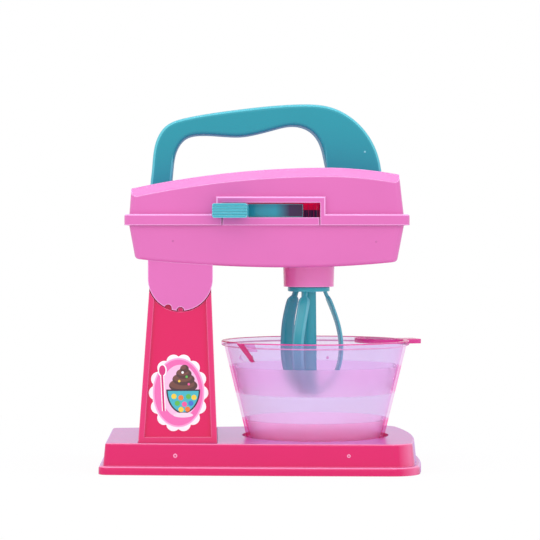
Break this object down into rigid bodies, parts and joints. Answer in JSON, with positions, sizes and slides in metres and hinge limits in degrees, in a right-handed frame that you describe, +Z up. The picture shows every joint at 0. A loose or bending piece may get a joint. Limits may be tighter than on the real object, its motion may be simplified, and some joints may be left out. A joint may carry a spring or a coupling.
{
  "type": "toy stand mixer",
  "caption": "Child's pretend stand mixer: tilting head with a carrying handle, a thumb lever geared to a leaf-blade whisk, and a lift-out bowl with spout and grip tab on a trapezoid base.",
  "frame": {"origin": "centre of the base's footprint on the surface it stands on", "axes": "+Z up, +X from the column towards the bowl, -Y is the side with the lever"},
  "size_m": [0.2163, 0.1466, 0.241],
  "materials": {
    "hot_pink_plastic": "gloss moulded",
    "light_pink_plastic": "gloss moulded",
    "teal_plastic": "gloss moulded",
    "clear_lilac_plastic": "translucent gloss with frosted bands",
    "gear_plastic": "satin moulded",
    "screw_steel": "zinc plated",
    "badge_film": "printed film"
  },
  "bodies": {
    "base": {"base_shell": "hot_pink_plastic", "base_screws": "screw_steel", "column_front": "hot_pink_plastic", "column_rear": "hot_pink_plastic", "column_screws": "screw_steel", "detent_tooth": "hot_pink_plastic", "badge": "badge_film"},
    "head": {"head_lower_shell": "light_pink_plastic", "head_upper_shell": "light_pink_plastic", "mechanism_plate": "hot_pink_plastic", "mechanism_screws": "screw_steel", "lever_axle": "screw_steel", "housing_screws": "screw_steel", "handle_front": "teal_plastic", "handle_back": "teal_plastic", "handle_screws": "screw_steel", "handle_foot_screws": "screw_steel"},
    "lever": {"lever": "teal_plastic"},
    "whisk": {"drive_pinion": "gear_plastic", "whisk": "teal_plastic"},
    "bowl": {"bowl": "clear_lilac_plastic"}
  },
  "joints": [
    {"name": "head_tilt", "type": "hinge", "parent": "base", "child": "head", "pos_m": [-0.0541, 0, 0.1258], "axis": [0, -1, 0], "range_deg": [0, 22.5], "deforming": ["detent_tooth"]},
    {"name": "lever_swing", "type": "hinge", "parent": "head", "child": "lever", "pos_m": [0.0056, 0.02925, 0], "axis": [0, 0, 1], "range_deg": [0, 35]},
    {"name": "whisk_spin", "type": "hinge", "parent": "head", "child": "whisk", "pos_m": [0.0314, 0, 0], "axis": [0, 0, 1], "range_deg": [-193, 0.5]},
    {"name": "bowl_lift", "type": "slide", "parent": "base", "child": "bowl", "axis": [0, 0, 1], "range_m": [0, 0.02]}
  ],
  "couplings": [
    {"joint": "whisk_spin", "follows": "lever_swing", "ratio": -5.5}
  ]
}
